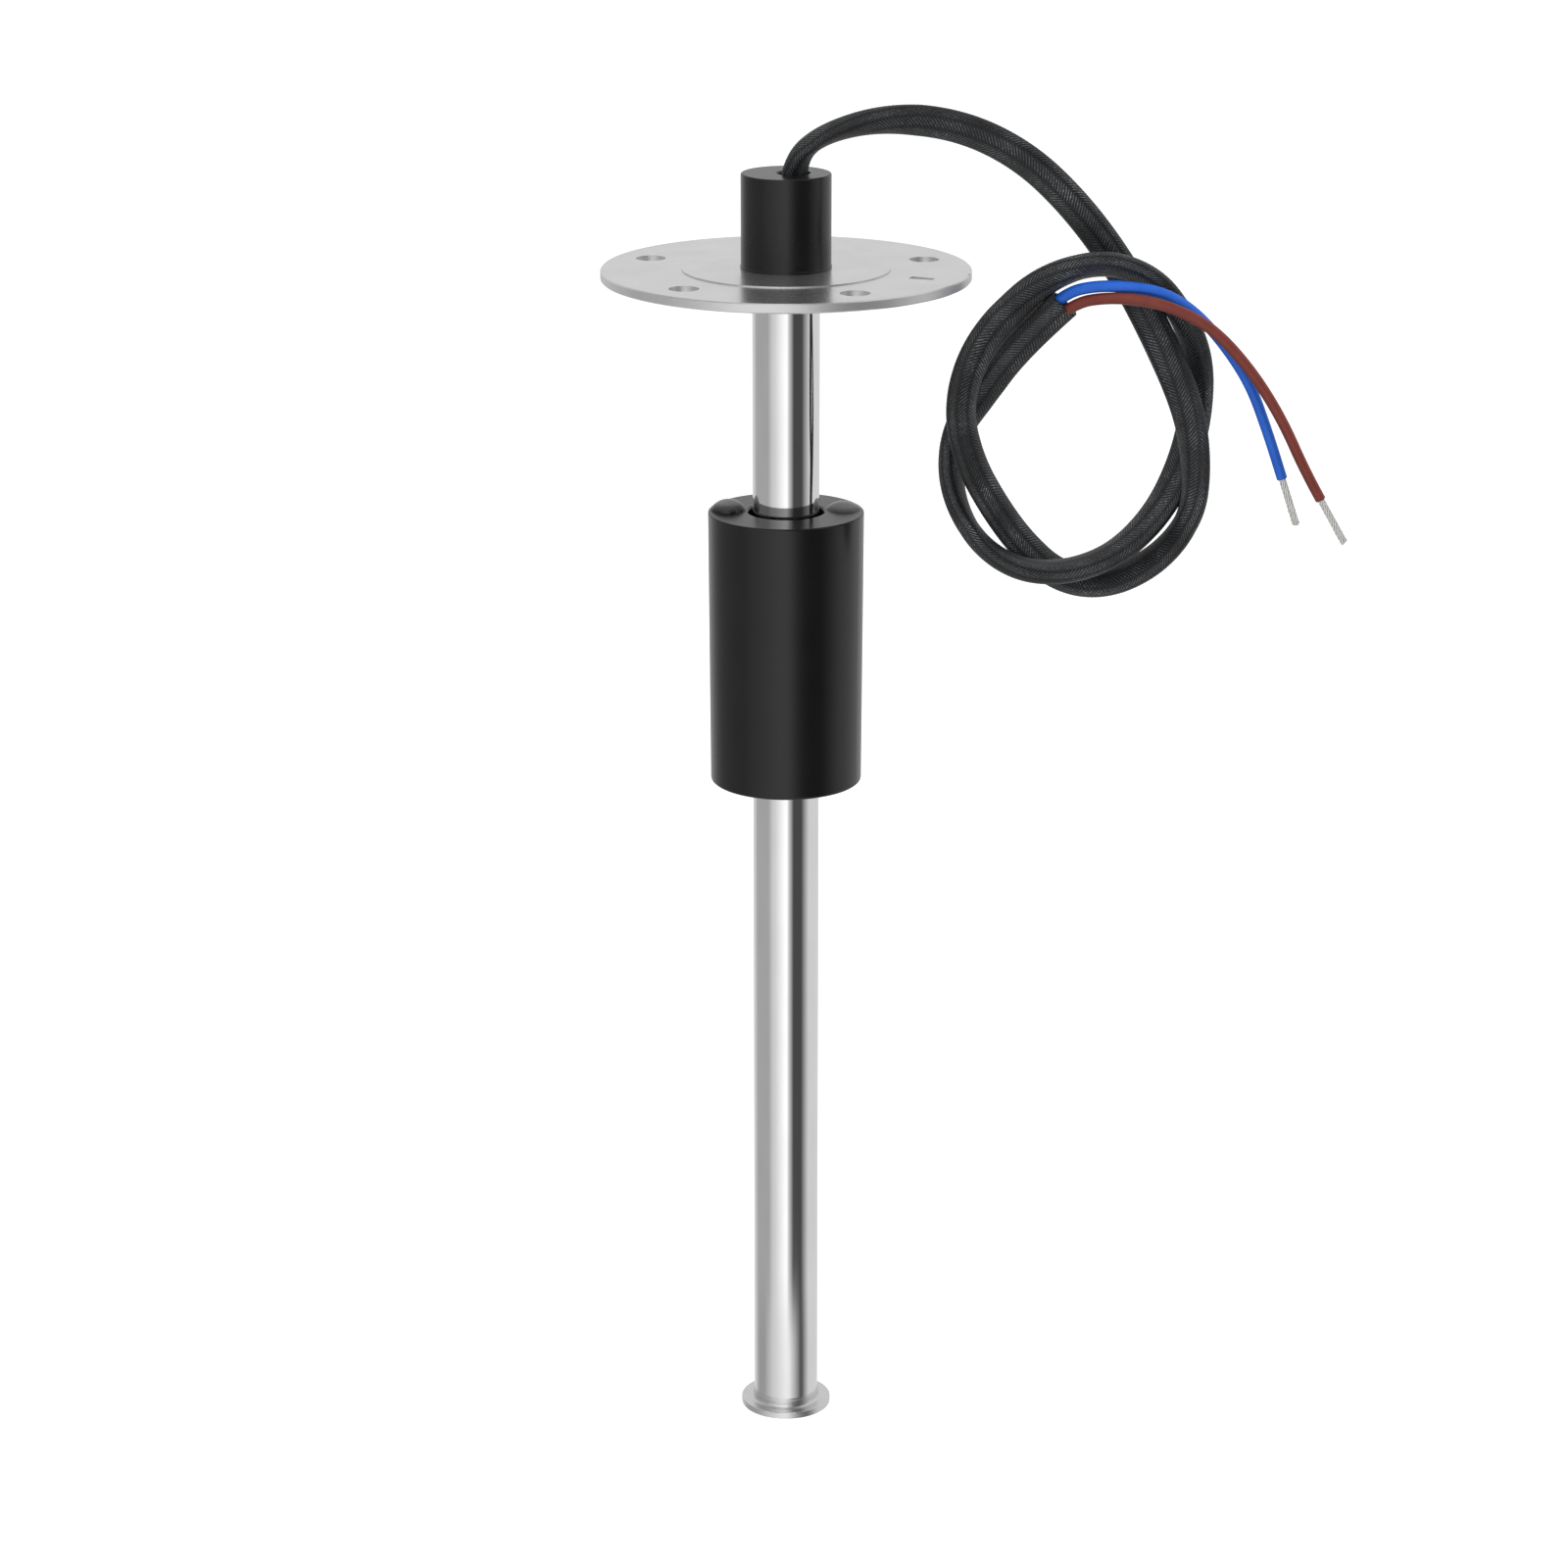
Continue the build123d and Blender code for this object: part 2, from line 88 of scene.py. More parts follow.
# The cable's route, as in the part: out from the cable hole along the view's right, up
# from the cap's top and back away from the view, in millimetres.
CABLE_HOLE_OFFSET = 1.3
CAP_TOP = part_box("terminal_cap")[1].z
SLEEVE_IN_CAP = 3.5
SLEEVE_ROUTE = (
    (0.0, -SLEEVE_IN_CAP, 0.0), (0.0, 1.9, 0.0), (4.6, 6.9, 0.0), (16.3, 10.1, 0.0),
    (29.8, 8.8, 0.4), (41.8, 3.0, 1.6), (51.7, -6.5, 3.6), (60.3, -18.0, 4.4),
    (67.2, -30.3, 0.2), (72.6, -42.5, -3.4), (74.6, -52.9, -3.4), (74.4, -63.7, -1.6),
    (68.4, -72.8, 0.8), (59.0, -78.0, 2.8), (49.9, -76.8, 3.4), (42.8, -70.1, 2.4),
    (37.3, -62.0, -0.2), (32.7, -53.2, -3.0), (30.3, -43.3, -3.5), (32.5, -33.5, -3.2),
    (37.9, -25.6, -2.8), (45.7, -18.6, -2.4), (56.0, -15.6, -2.2), (65.5, -18.6, -1.6),
    (71.5, -25.9, -0.2), (75.0, -34.7, 2.0), (75.0, -45.0, 3.4), (72.8, -54.9, 3.2),
    (67.8, -64.4, 1.0), (60.0, -71.3, -1.8), (50.4, -74.4, -3.2), (40.9, -73.5, -3.2),
    (33.1, -67.7, -1.4), (29.1, -58.6, 1.4), (30.0, -49.0, 3.3), (34.3, -42.1, 3.5),
    (41.1, -32.0, 1.4), (49.4, -23.6, -1.4),
)
BLUE_ROUTE = (
    (46.9, -24.6, -0.9), (50.0, -21.5, -2.4), (54.9, -19.9, -4.7), (60.6, -19.8, -5.7),
    (67.3, -20.8, -5.9), (73.2, -24.4, -5.9), (78.9, -30.7, -5.8), (83.8, -38.1, -5.8),
    (87.0, -46.4, -5.6), (88.9, -51.8, -5.3), (90.2, -55.7, -5.2),
)
BROWN_ROUTE = (
    (48.6, -26.2, -0.9), (51.7, -23.4, -2.6), (56.6, -22.0, -5.2), (62.5, -21.8, -7.4),
    (69.1, -23.2, -8.5), (76.3, -26.9, -8.8), (83.4, -34.6, -8.6), (89.4, -43.8, -8.0),
    (94.1, -53.8, -7.4), (97.2, -59.2, -7.2),
)
# Points of the smooth line to each stretch of its spline
SPLINE_STEPS = 24


def cable_point(out, up, back):
    """A route point in the part's frame."""
    along = (CABLE_HOLE_OFFSET + out) * MM
    return RIGHT * along + AWAY * (back * MM) + UP * (CAP_TOP + up * MM)


def route_line(name, route):
    """The smooth line of a route: the points of its NURBS spline."""
    curve = bpy.data.curves.new(name, "CURVE")
    curve.dimensions = "3D"
    curve.resolution_u = SPLINE_STEPS
    spline = curve.splines.new("NURBS")
    spline.points.add(len(route) - 1)
    for control, point in zip(spline.points, route):
        control.co = (*cable_point(*point), 1)
    spline.order_u = 3
    spline.use_endpoint_u = True
    holder = bpy.data.objects.new(name, curve)
    mesh = bpy.data.meshes.new_from_object(holder)
    points = np.array([vertex.co for vertex in mesh.vertices])
    bpy.data.objects.remove(holder)
    bpy.data.curves.remove(curve)
    bpy.data.meshes.remove(mesh)
    return points


def distances(points):
    steps = np.linalg.norm(np.diff(points, axis=0), axis=1)
    return np.concatenate([[0], np.cumsum(steps)])


def along_line(points, at):
    """Positions and tangents of a line at the given distances from its start."""
    travelled = distances(points)
    place = np.stack([np.interp(at, travelled, points[:, axis]) for axis in range(3)], axis=1)
    tangent = np.gradient(place, at, axis=0)
    tangent /= np.linalg.norm(tangent, axis=1)[:, None]
    return place, tangent


def section_axes(tangent):
    """Two directions square to each tangent: across in the cable's plane, and away."""
    away = np.array(AWAY) - tangent * (tangent @ np.array(AWAY))[:, None]
    away /= np.linalg.norm(away, axis=1)[:, None]
    across = np.cross(away, tangent)
    return across, away


def mesh_piece(name, vertices, faces, material, smooth=True):
    mesh = bpy.data.meshes.new(name)
    mesh.from_pydata([tuple(v) for v in vertices], [], faces)
    mesh.validate()
    mesh.update()
    for polygon in mesh.polygons:
        polygon.use_smooth = smooth
    piece = bpy.data.objects.new(name, mesh)
    bpy.context.scene.collection.objects.link(piece)
    piece.data.materials.append(material)
    return piece


MICRON = 0.001 * MM
# Most of a noise's values lie between these
NOISE_LOW = 0.3
NOISE_HIGH = 0.7


def grey(value):
    return (value, value, value)


class Nodes:
    """A short way to write a node tree."""

    def __init__(self, tree):
        self.tree = tree

    def add(self, kind, **settings):
        node = self.tree.nodes.new(kind)
        for key, value in settings.items():
            if key in node.inputs:
                node.inputs[key].default_value = value
            else:
                setattr(node, key, value)
        return node

    def link(self, source, target):
        self.tree.links.new(source, target)

    def math(self, operation, first, second=None, third=None):
        node = self.add("ShaderNodeMath", operation=operation)
        for socket, value in zip(node.inputs, (first, second, third)):
            if isinstance(value, (int, float)):
                socket.default_value = value
            elif value is not None:
                self.link(value, socket)
        return node.outputs["Value"]

    def ramp(self, factor, *stops):
        node = self.add("ShaderNodeValToRGB")
        elements = node.color_ramp.elements
        while len(elements) < len(stops):
            elements.new(0.5)
        for element, (position, colour) in zip(elements, stops):
            element.position = position
            element.color = (*colour, 1)
        self.link(factor, node.inputs["Fac"])
        return node.outputs["Color"]

    def span(self, value, low, high, to_low, to_high, **settings):
        """A value moved from one range to another, and held inside it."""
        node = self.add("ShaderNodeMapRange", **settings)
        limits = {"From Min": low, "From Max": high, "To Min": to_low, "To Max": to_high}
        for key, limit in limits.items():
            node.inputs[key].default_value = limit
        self.link(value, node.inputs["Value"])
        return node.outputs["Result"]

    def seen_directly(self):
        """One where the camera sees the place itself, or sees it through glass."""
        path = self.add("ShaderNodeLightPath")
        return self.math("MAXIMUM", path.outputs["Is Camera Ray"], path.outputs["Is Transmission Ray"])


class Surface(Nodes):
    """A material's node tree around its Principled shader."""

    def __init__(self, name):
        self.material = bpy.data.materials.new(name)
        self.material.use_nodes = True
        super().__init__(self.material.node_tree)
        self.shader = self.tree.nodes["Principled BSDF"]

    def object_point(self, stretch):
        """The point on the surface in millimetres, stretched per axis."""
        coordinates = self.add("ShaderNodeTexCoord")
        mapping = self.add("ShaderNodeMapping", Scale=tuple(share / MM for share in stretch))
        self.link(coordinates.outputs["Object"], mapping.inputs["Vector"])
        return mapping.outputs["Vector"]

    def noise(self, scale, detail=3.0, roughness=0.5, stretch=(1, 1, 1), point=None):
        """Noise over the surface's own points, or over others."""
        if point is None:
            point = self.object_point(stretch)
        node = self.add("ShaderNodeTexNoise", Scale=scale, Detail=detail, Roughness=roughness)
        self.link(point, node.inputs["Vector"])
        return node.outputs["Fac"]

    def upward(self, normal):
        """How far the surface's Normal or True Normal points up."""
        parts = self.add("ShaderNodeSeparateXYZ")
        self.link(self.add("ShaderNodeNewGeometry").outputs[normal], parts.inputs["Vector"])
        return parts.outputs["Z"]

    def colour(self, factor, *stops):
        self.link(self.ramp(factor, *stops), self.shader.inputs["Base Color"])

    def roughness(self, noise, low, high):
        varied = self.span(noise, NOISE_LOW, NOISE_HIGH, low, high)
        self.link(varied, self.shader.inputs["Roughness"])

    def bump(self, height, microns):
        node = self.add("ShaderNodeBump", Strength=1.0, Distance=microns * MICRON)
        self.link(height, node.inputs["Height"])
        self.link(node.outputs["Normal"], self.shader.inputs["Normal"])

    def set(self, **values):
        for key, value in values.items():
            self.shader.inputs[key.replace("_", " ")].default_value = value


def polished_tube(name):
    """Drawn and polished tube: fine streaks along its length."""
    surface = Surface(name)
    streaks = surface.noise(5.0, detail=4.0, roughness=0.6, stretch=(1, 1, 0.012))
    clouds = surface.noise(0.25, detail=2.0, stretch=(1, 1, 0.3))
    surface.colour(clouds, (0.3, grey(0.82)), (0.7, grey(0.86)))
    surface.roughness(streaks, 0.04, 0.07)
    surface.bump(streaks, microns=0.3)
    surface.set(Metallic=1.0)
    return surface.material


def satin_flange(name):
    """Rolled and lightly brushed sheet, duller where it is sheared and drilled."""
    surface = Surface(name)
    lines = surface.noise(6.0, detail=4.0, roughness=0.6, stretch=(0.05, 1.0, 1))
    clouds = surface.noise(0.12)
    surface.colour(clouds, (0.3, grey(0.74)), (0.7, grey(0.80)))
    flatness = surface.math("ABSOLUTE", surface.upward("True Normal"))
    sheared = surface.span(flatness, 0.2, 0.9, 0.2, 0.0)
    rolled = surface.span(lines, NOISE_LOW, NOISE_HIGH, 0.20, 0.28)
    surface.link(surface.math("ADD", rolled, sheared), surface.shader.inputs["Roughness"])
    surface.bump(lines, microns=1)
    surface.set(Metallic=0.94)
    return surface.material


def turned_steel(name):
    """Lathe-turned foot: fine rings around its axis."""
    surface = Surface(name)
    rings = surface.noise(9.0, roughness=0.6, stretch=(0.02, 0.02, 1))
    surface.colour(rings, (0.3, grey(0.74)), (0.7, grey(0.80)))
    surface.roughness(rings, 0.26, 0.32)
    surface.bump(rings, microns=0.2)
    surface.set(Metallic=1.0)
    return surface.material


def black_moulding(name, dark, light, roughness, grain, microns):
    """Moulded black plastic or foam skin with a fine grain."""
    surface = Surface(name)
    fine = surface.noise(grain, roughness=0.6)
    broad = surface.noise(0.15, detail=2.0)
    surface.colour(broad, (0.35, grey(dark)), (0.65, grey(light)))
    surface.roughness(fine, roughness - 0.03, roughness + 0.03)
    surface.bump(fine, microns)
    surface.set(IOR=1.45)
    return surface.material


def poured_resin(name):
    """A resin dome with painted light: lighter where it faces up, a painted highlight, and darker
    towards its edge, painted shade.
    """
    surface = Surface(name)
    fine = surface.noise(1.5, roughness=0.6)
    upward = surface.upward("Normal")
    # Painted light: the colour follows how far the surface faces up, a painted highlight on top and
    # painted shade at the edge
    surface.colour(upward, (0.54, grey(0.006)), (0.76, grey(0.07)), (0.88, grey(0.17)))
    surface.roughness(fine, 0.11, 0.17)
    surface.bump(fine, microns=2)
    surface.set(IOR=1.45)
    return surface.material


def insulation(name, dark, light):
    """Extruded wire insulation."""
    surface = Surface(name)
    fine = surface.noise(4.0)
    broad = surface.noise(0.3, detail=2.0)
    surface.colour(broad, (0.35, dark), (0.65, light))
    surface.roughness(fine, 0.38, 0.5)
    surface.bump(fine, microns=6)
    surface.set(IOR=1.45)
    return surface.material


def plain_solid(name, dark, light, roughness, metallic=0.0):
    """A part with one even look, mottled a little."""
    surface = Surface(name)
    fine = surface.noise(2.0)
    surface.colour(fine, (0.35, dark), (0.65, light))
    surface.bump(fine, microns=4)
    surface.set(Metallic=metallic, Roughness=roughness)
    return surface.material


def reed_glass(name):
    """The switches' greenish glass."""
    surface = Surface(name)
    fine = surface.noise(1.0, detail=2.0)
    surface.colour(fine, (0.35, (0.55, 0.72, 0.6)), (0.65, (0.65, 0.8, 0.68)))
    surface.set(Roughness=0.05, Transmission_Weight=0.8, IOR=1.5)
    return surface.material


WEAVE = "weave"
CELLS_PER_CHEVRON = 3
FILAMENTS = 4
FILAMENT_HEIGHT = 0.1
# From the dark gaps between the strands to the painted highlight on their crests
BRAID_TONES = (
    (0.0, (0.001, 0.001, 0.001)),
    (0.2, (0.004, 0.004, 0.005)),
    (0.4, (0.036, 0.040, 0.044)),
    (0.65, (0.10, 0.11, 0.12)),
    (0.9, (0.40, 0.42, 0.45)),
)


def braid(name):
    """Black braided sleeving: slanting strands whose lean turns over from column to column, with a
    painted highlight on their crests.

    The weave attribute counts braid cells around and along."""
    surface = Surface(name)
    weave = surface.add("ShaderNodeAttribute", attribute_name=WEAVE).outputs["Vector"]
    parts = surface.add("ShaderNodeSeparateXYZ")
    surface.link(weave, parts.inputs["Vector"])
    around, along = parts.outputs["X"], parts.outputs["Y"]
    zigzag = surface.math("PINGPONG", around, float(CELLS_PER_CHEVRON))
    strand = surface.math("ADD", along, zigzag)
    phase = surface.math("MULTIPLY", surface.math("FRACT", strand), math.pi)
    crown = surface.math("SINE", phase)
    filament = surface.math("SINE", surface.math("MULTIPLY", strand, 2 * math.pi * FILAMENTS))
    height = surface.math("MULTIPLY_ADD", filament, FILAMENT_HEIGHT, crown)
    # A strand dips under its neighbours where the columns meet: there its painted highlight is dimmed,
    # as painted shade
    half_column = CELLS_PER_CHEVRON / 2
    off_middle = surface.math("ABSOLUTE", surface.math("SUBTRACT", zigzag, half_column))
    middle = surface.span(off_middle, half_column / 2, half_column, 1.0, 0.45)
    crest = surface.math("MULTIPLY", surface.math("POWER", crown, 1.6), middle)
    # Painted highlight: broad patches and small glints set how bright the crests' painted highlight is
    highlight_patches = surface.noise(0.06, detail=2.0, point=weave)
    glint = surface.noise(1.7, detail=2.0, roughness=0.6, point=weave)
    patchy_highlight = surface.span(highlight_patches, 0.35, 0.65, 0.55, 1.0)
    glinting = surface.span(glint, 0.35, 0.72, 0.45, 1.0)
    lit = surface.math("MULTIPLY", patchy_highlight, glinting)
    # The base colour is painted light: the crests' painted highlight over the dark strands
    surface.colour(surface.math("MULTIPLY", crest, lit), *BRAID_TONES)
    surface.bump(height, microns=60)
    surface.set(Roughness=0.42, IOR=1.5, Sheen_Weight=0.08, Sheen_Roughness=0.3)
    return surface.material


# Each material's name, its function, and what that takes besides the name. A moulding
# takes its two greys, roughness, grain and bump; insulation its two colours; a plain
# solid its two colours, roughness and whether it is metal.
MATERIALS = {
    name: make(name, *details)
    for name, make, *details in (
        ("flange_steel", satin_flange),
        ("tube_steel", polished_tube),
        ("foot_steel", turned_steel),
        ("cap_plastic", black_moulding, 0.006, 0.007, 0.26, 3.0, 1),
        ("float_foam", black_moulding, 0.005, 0.006, 0.24, 2.2, 2),
        ("seal_resin", poured_resin),
        ("potting_resin", black_moulding, 0.010, 0.014, 0.3, 1.5, 10),
        ("board_laminate", plain_solid, (0.02, 0.16, 0.06), (0.03, 0.22, 0.09), 0.4),
        ("spacer_plastic", plain_solid, grey(0.6), grey(0.7), 0.5),
        ("magnet_metal", plain_solid, grey(0.5), grey(0.6), 0.25, 1.0),
        ("reed_glass", reed_glass),
        ("resistor_ceramic", plain_solid, grey(0.02), grey(0.04), 0.5),
        ("braid", braid),
        ("blue_insulation", insulation, (0.009, 0.105, 0.55), (0.011, 0.125, 0.62)),
        ("brown_insulation", insulation, (0.165, 0.026, 0.016), (0.19, 0.032, 0.020)),
        ("tinned_copper", plain_solid, (0.80, 0.79, 0.77), (0.92, 0.91, 0.89), 0.22, 1.0),
    )
}

for subpart in frame["record"]["subparts"]:
    solid = frame["nodes"][subpart["node"]]
    solid.data.materials.clear()
    solid.data.materials.append(MATERIALS[subpart["material_slot"]])

# The braided sleeve: an oval tube that turns as it goes, because two wires lie side by
# side in it. The braid is a lattice of diamonds, each raised at its middle.
OVAL_WIDE = 6.3 * MM
OVAL_THIN = 3.6 * MM
# Millimetres along, and by how many degrees the oval is turned out of the cable's plane
OVAL_TURNS = (
    (0, 45), (10, 80), (30, 30), (95, 10), (130, 70), (155, 40), (200, 40), (217, 10),
    (235, 50), (255, 60), (283, 30), (310, 70), (340, 85), (365, 20), (391, 15),
)
# Millimetres along, and by how many the braid's middle is set to the right of its travel:
# where the second loop passes the end strand, and at the mouth, to cover the brown wire
MIDDLE_SHIFTS = ((0, 0), (200, 0), (220, 0.5), (240, 0), (355, 0), (370, 0.3), (391, 0.3))
CELL = 0.65 * MM
ROW_STEP = CELL / 2
CELLS_AROUND = 24
CELL_RISE = 0.06 * MM
OVAL_SQUARENESS = 2.3
SLEEVE_WALL = 0.45 * MM
MOUTH_DEPTH = 4.0 * MM
MOUTH_FRAY = 0.12 * MM


def oval(angle, wide, thin):
    """A point on a slightly squared oval."""
    cosine, sine = math.cos(angle), math.sin(angle)
    reach = abs(cosine) ** OVAL_SQUARENESS + abs(sine) ** OVAL_SQUARENESS
    size = reach ** (-1 / OVAL_SQUARENESS)
    return cosine * size * wide / 2, sine * size * thin / 2


def braid_triangles(rows, columns):
    """The outer skin as rows and columns: triangles around each raised vertex."""
    triangles = []
    for row in range(rows + 1):
        for column in range((row + 1) % 2, columns, 2):
            middle = (row, column)
            around = ((row, column + 1), (row + 1, column), (row, column - 1), (row - 1, column))
            for first, second in zip(around, around[1:] + around[:1]):
                if min(first[0], second[0]) >= 0 and max(first[0], second[0]) <= rows:
                    triangles.append([middle, first, second])
    return triangles


def make_sleeve():
    line = route_line("sleeve_line", SLEEVE_ROUTE)
    total = distances(line)[-1]
    rows = int(total / ROW_STEP)
    at = np.linspace(0, total, rows + 1)
    place, tangent = along_line(line, at)
    across, away = section_axes(tangent)
    place = place + across * (np.interp(at / MM, *zip(*MIDDLE_SHIFTS)) * MM)[:, None]
    turn = np.radians(np.interp(at / MM, *zip(*OVAL_TURNS)))
    columns = 2 * CELLS_AROUND

    def ring(row, shrink, rises=0.0, fray=0.0):
        wide_way = across[row] * math.cos(turn[row]) + away[row] * math.sin(turn[row])
        thin_way = away[row] * math.cos(turn[row]) - across[row] * math.sin(turn[row])
        points = []
        for column in range(columns):
            angle = 2 * math.pi * column / columns
            x, y = oval(angle, OVAL_WIDE - 2 * shrink, OVAL_THIN - 2 * shrink)
            point = place[row] + wide_way * x + thin_way * y
            outward = wide_way * x * OVAL_THIN + thin_way * y * OVAL_WIDE
            outward /= np.linalg.norm(outward)
            if (row + column) % 2:
                point = point + outward * rises
            point = point + tangent[row] * random.uniform(-fray, fray)
            points.append(point)
        return points

    vertices = []
    for row in range(rows + 1):
        vertices += ring(row, 0, CELL_RISE, MOUTH_FRAY if row == rows else 0)
    counts = braid_triangles(rows, columns)
    faces = [[row * columns + column % columns for row, column in corners] for corners in counts]

    # The inner wall goes a little way down the mouth
    depths = (0, MOUTH_DEPTH / 2, MOUTH_DEPTH)
    inner_rows = [rows - int(depth / ROW_STEP) for depth in depths]
    previous = rows * columns
    for row in inner_rows:
        start = len(vertices)
        vertices += ring(row, SLEEVE_WALL)
        for column in range(columns):
            after = (column + 1) % columns
            faces.append([previous + column, previous + after, start + after, start + column])
            counts.append([(rows, column), (rows, column + 1), (rows, column + 1), (rows, column)])
        previous = start
    # Both ends are closed: the inner wall's at the bottom, and the sleeve's in the cap
    for ends, row, flip in ((previous, inner_rows[-1], False), (0, 0, True)):
        centre = len(vertices)
        vertices.append(place[row])
        for column in range(columns):
            pair = [ends + column, ends + (column + 1) % columns]
            faces.append([*(reversed(pair) if flip else pair), centre])
            counts.append([(row, column)] * 3)
    sleeve = mesh_piece("braided_sleeve", vertices, faces, MATERIALS["braid"])
    weave = sleeve.data.attributes.new(WEAVE, "FLOAT_VECTOR", "CORNER")
    values = [(column / 2, row / 2, 0) for corners in counts for row, column in corners]
    weave.data.foreach_set("vector", np.array(values, np.float32).ravel())
    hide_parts("cable_sleeve")
    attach(sleeve, "sender")


make_sleeve()

# The two wires and their twisted ends
WIRE_SIDES = 24
WIRE_STEP = 0.5 * MM
STRAND_COUNT = 6
STRAND_RADIUS = 0.23 * MM
STRAND_LAY = 5.5 * MM
STRAND_SIDES = 10
STRAND_STEP = 0.2 * MM
# Steps by which the strands start inside the insulation. Their tips differ by fewer than
# STRAND_UNEVEN steps.
STRAND_BURIED = 3
STRAND_UNEVEN = 3
TIP_FAN = 0.25
# Millimetres across at millimetres along a wire: it thins a little towards its tip
WIRE_DIAMETERS = ((0, 2.15), (15, 2.15), (35, 2.05), (70, 1.95))
BLUE_TIP = 9.6 * MM
BROWN_TIP = 9.8 * MM


def tube_mesh(place, tangent, radii, sides):
    """Vertices and faces of a round tube closed at both ends."""
    across, away = section_axes(tangent)
    vertices, faces = [], []
    for point, a, b, radius in zip(place, across, away, radii):
        for side in range(sides):
            angle = 2 * math.pi * side / sides
            vertices.append(point + (a * math.cos(angle) + b * math.sin(angle)) * radius)
    for ring in range(len(place) - 1):
        for side in range(sides):
            after = (side + 1) % sides
            low, high = ring * sides, (ring + 1) * sides
            faces.append([low + side, low + after, high + after, high + side])
    last = (len(place) - 1) * sides
    faces.append(list(reversed(range(sides))))
    faces.append(list(range(last, last + sides)))
    return vertices, faces


def make_wire(colour, route, tip_length):
    line = route_line(f"{colour}_line", route)
    total = distances(line)[-1]
    at = np.linspace(0, total, int(total / WIRE_STEP))
    place, tangent = along_line(line, at)
    radii = np.interp(at / MM, *zip(*WIRE_DIAMETERS)) / 2 * MM
    wire = mesh_piece(f"insulated_{colour}", *tube_mesh(place, tangent, radii, WIRE_SIDES),
                      MATERIALS[f"{colour}_insulation"])
    strands = make_strands(colour, place[-1], tangent[-1], tip_length)
    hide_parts(f"wire_{colour}")
    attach(wire, "sender")


def make_strands(colour, start, direction, length):
    """Bare strands twisted around a middle one, fanning out a little at the tip."""
    at = np.arange(-STRAND_BURIED * STRAND_STEP, length, STRAND_STEP)
    core = start + direction * at[:, None]
    across, away = section_axes(np.repeat(direction[None], len(at), axis=0))
    vertices, faces = [], []
    for strand in range(STRAND_COUNT + 1):
        spread = 0 if strand == STRAND_COUNT else 2 * STRAND_RADIUS
        reach = len(at) - random.randrange(0, STRAND_UNEVEN)
        angle = 2 * math.pi * (strand / STRAND_COUNT + at / STRAND_LAY)
        fan = 1 + TIP_FAN * (np.clip(at / length, 0, 1)) ** 3 * random.uniform(0, 1)
        offset = across * np.cos(angle)[:, None] + away * np.sin(angle)[:, None]
        path = (core + offset * (spread * fan)[:, None])[:reach]
        tangent = np.gradient(path, axis=0)
        tangent /= np.linalg.norm(tangent, axis=1)[:, None]
        own, own_faces = tube_mesh(path, tangent, [STRAND_RADIUS] * reach, STRAND_SIDES)
        first = len(vertices)
        vertices += own
        faces += [[first + index for index in face] for face in own_faces]
    strands = mesh_piece(f"strands_{colour}", vertices, faces, MATERIALS["tinned_copper"])
    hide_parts(f"conductor_{colour}")
    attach(strands, "sender")
    return strands


make_wire("blue", BLUE_ROUTE, BLUE_TIP)
make_wire("brown", BROWN_ROUTE, BROWN_TIP)

# Floor, well below the foot
FLOOR_DROP = 60 * MM
FLOOR_REACH = 12.0
FLOOR_GLOW = 0.5


def make_floor():
    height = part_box("end_plug")[0].z - FLOOR_DROP
    corners = [(x, y, height) for x, y in ((-1, -1), (1, -1), (1, 1), (-1, 1))]
    corners = [(x * FLOOR_REACH, y * FLOOR_REACH, z) for x, y, z in corners]
    surface = Surface("floor")
    surface.colour(surface.noise(0.02, detail=2.0), (0.3, grey(0.80)), (0.7, grey(0.82)))
    glow = surface.math("MULTIPLY", surface.seen_directly(), FLOOR_GLOW)
    surface.link(glow, surface.shader.inputs["Emission Strength"])
    surface.set(Roughness=0.9, Specular_IOR_Level=0.0, Emission_Color=(1, 1, 1, 1))
    floor = mesh_piece("floor", corners, [[0, 1, 2, 3]], surface.material, smooth=False)
    floor.visible_glossy = False


make_floor()

# Studio surroundings: white to the eye, an even level for matt surfaces, and for glossy
# ones upright panels with soft edges, in front of pale walls. A panel's four places are
# degrees round from the camera towards the view's right: where its edge begins, where it
# is full, where it is full no longer and where its edge ends. Its brightness comes last.
WALL_BRIGHTNESS = 0.6
PANELS = (
    (-145, -120, -65, -45, 0.35),
    (-40, -4, 4, 9, 1.0),
    (9, 26, 56, 88, 0.06),
)
PANELS_BELOW = (
    (-145, -115, -85, -45, 0.3),
    (-40, -4, 10, 22, 0.8),
    (22, 54, 62, 92, 0.09),
)
# The steel reflects this share of what stands around it
STEEL_SHARE = 0.84
# How far down a direction points where PANELS_BELOW begins to show, and where it is full
BELOW_START = -0.4115
BELOW_FULL = -0.428
SOFT_LEVEL = 0.75


def panel_stops(panels):
    """Places and brightness around the studio, from behind the camera round to there again."""
    stops = [(-180, WALL_BRIGHTNESS)]
    for edge_start, full_start, full_end, edge_end, brightness in panels:
        stops += [(edge_start, WALL_BRIGHTNESS), (full_start, brightness),
                  (full_end, brightness), (edge_end, WALL_BRIGHTNESS)]
    return stops + [(180, WALL_BRIGHTNESS)]


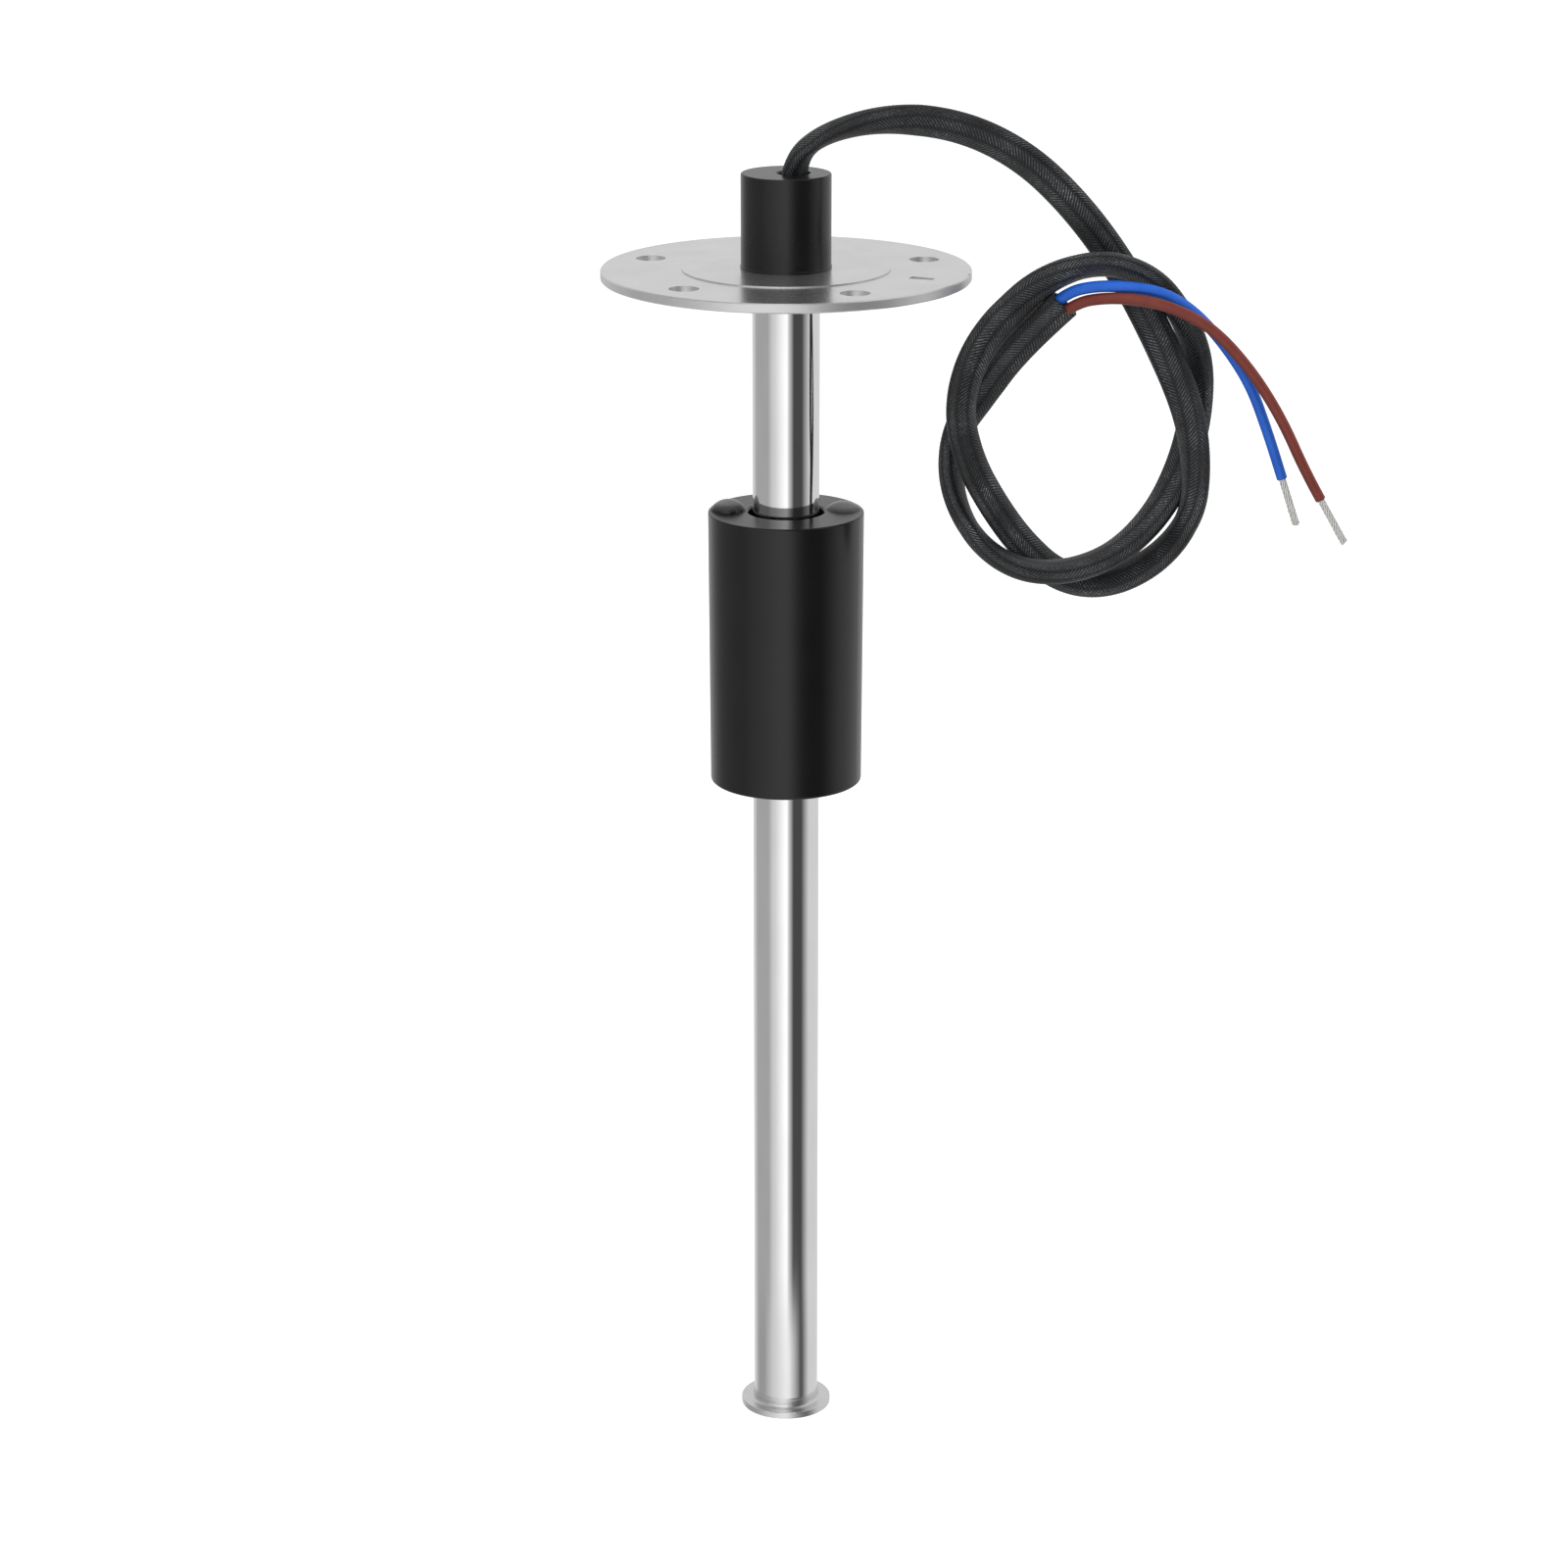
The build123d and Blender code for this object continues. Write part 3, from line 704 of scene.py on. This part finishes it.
def make_world():
    world = bpy.data.worlds.new("studio")
    bpy.context.scene.world = world
    world.use_nodes = True
    nodes = Nodes(world.node_tree)
    nodes.tree.nodes.clear()
    direction = nodes.add("ShaderNodeTexCoord").outputs["Generated"]

    def along(way):
        node = nodes.add("ShaderNodeVectorMath", operation="DOT_PRODUCT")
        nodes.link(direction, node.inputs[0])
        node.inputs[1].default_value = way
        return node.outputs["Value"]

    def surroundings(panels):
        stops = [((degrees + 180) / 360, grey(level)) for degrees, level in panel_stops(panels)]
        return nodes.ramp(turn, *stops)

    def background(strength=1.0):
        return nodes.add("ShaderNodeBackground", Color=(1, 1, 1, 1), Strength=strength)

    def choose(where, otherwise, there):
        node = nodes.add("ShaderNodeMixShader")
        for socket, source in zip(node.inputs, (where, otherwise, there)):
            nodes.link(source, socket)
        return node.outputs["Shader"]

    round_from_camera = nodes.math("ARCTAN2", along(RIGHT), along(-AWAY))
    turn = nodes.span(round_from_camera, -math.pi, math.pi, 0.0, 1.0)
    below = nodes.span(along(UP), BELOW_START, BELOW_FULL, 0.0, 1.0, interpolation_type="SMOOTHSTEP")
    reflected = nodes.add("ShaderNodeMix", data_type="RGBA")
    nodes.link(below, reflected.inputs["Factor"])
    nodes.link(surroundings(PANELS), reflected.inputs["A"])
    nodes.link(surroundings(PANELS_BELOW), reflected.inputs["B"])
    glossy = background(1 / STEEL_SHARE)
    nodes.link(reflected.outputs["Result"], glossy.inputs["Color"])
    soft = background(SOFT_LEVEL).outputs["Background"]
    white = background().outputs["Background"]
    is_glossy = nodes.add("ShaderNodeLightPath").outputs["Is Glossy Ray"]
    unseen = choose(is_glossy, soft, glossy.outputs["Background"])
    whole = choose(nodes.seen_directly(), unseen, white)
    nodes.link(whole, nodes.add("ShaderNodeOutputWorld").inputs["Surface"])


make_world()


LAMP_AIM = Vector((0, 0, -0.08))
# Each lamp's name, its place in metres to the right, towards the camera and up, its size
# and its power in watts
LAMPS = (
    ("key", -0.7, 0.6, 1.1, 0.7, 7.0),
    ("fill", 0.9, 0.5, 0.7, 0.8, 3.5),
)


def soft_box(name, place, size, power):
    """A square lamp aimed at the middle of the object."""
    data = bpy.data.lights.new(name, "AREA")
    data.shape = "SQUARE"
    data.size = size
    data.energy = power
    lamp = bpy.data.objects.new(name, data)
    lamp.location = place
    aim = LAMP_AIM - lamp.location
    lamp.rotation_euler = aim.to_track_quat("-Z", "Y").to_euler()
    lamp.visible_glossy = False
    bpy.context.scene.collection.objects.link(lamp)


for name, right, nearer, up, size, power in LAMPS:
    soft_box(name, RIGHT * right - AWAY * nearer + UP * up, size, power)

bpy.context.scene.view_settings.view_transform = "Standard"
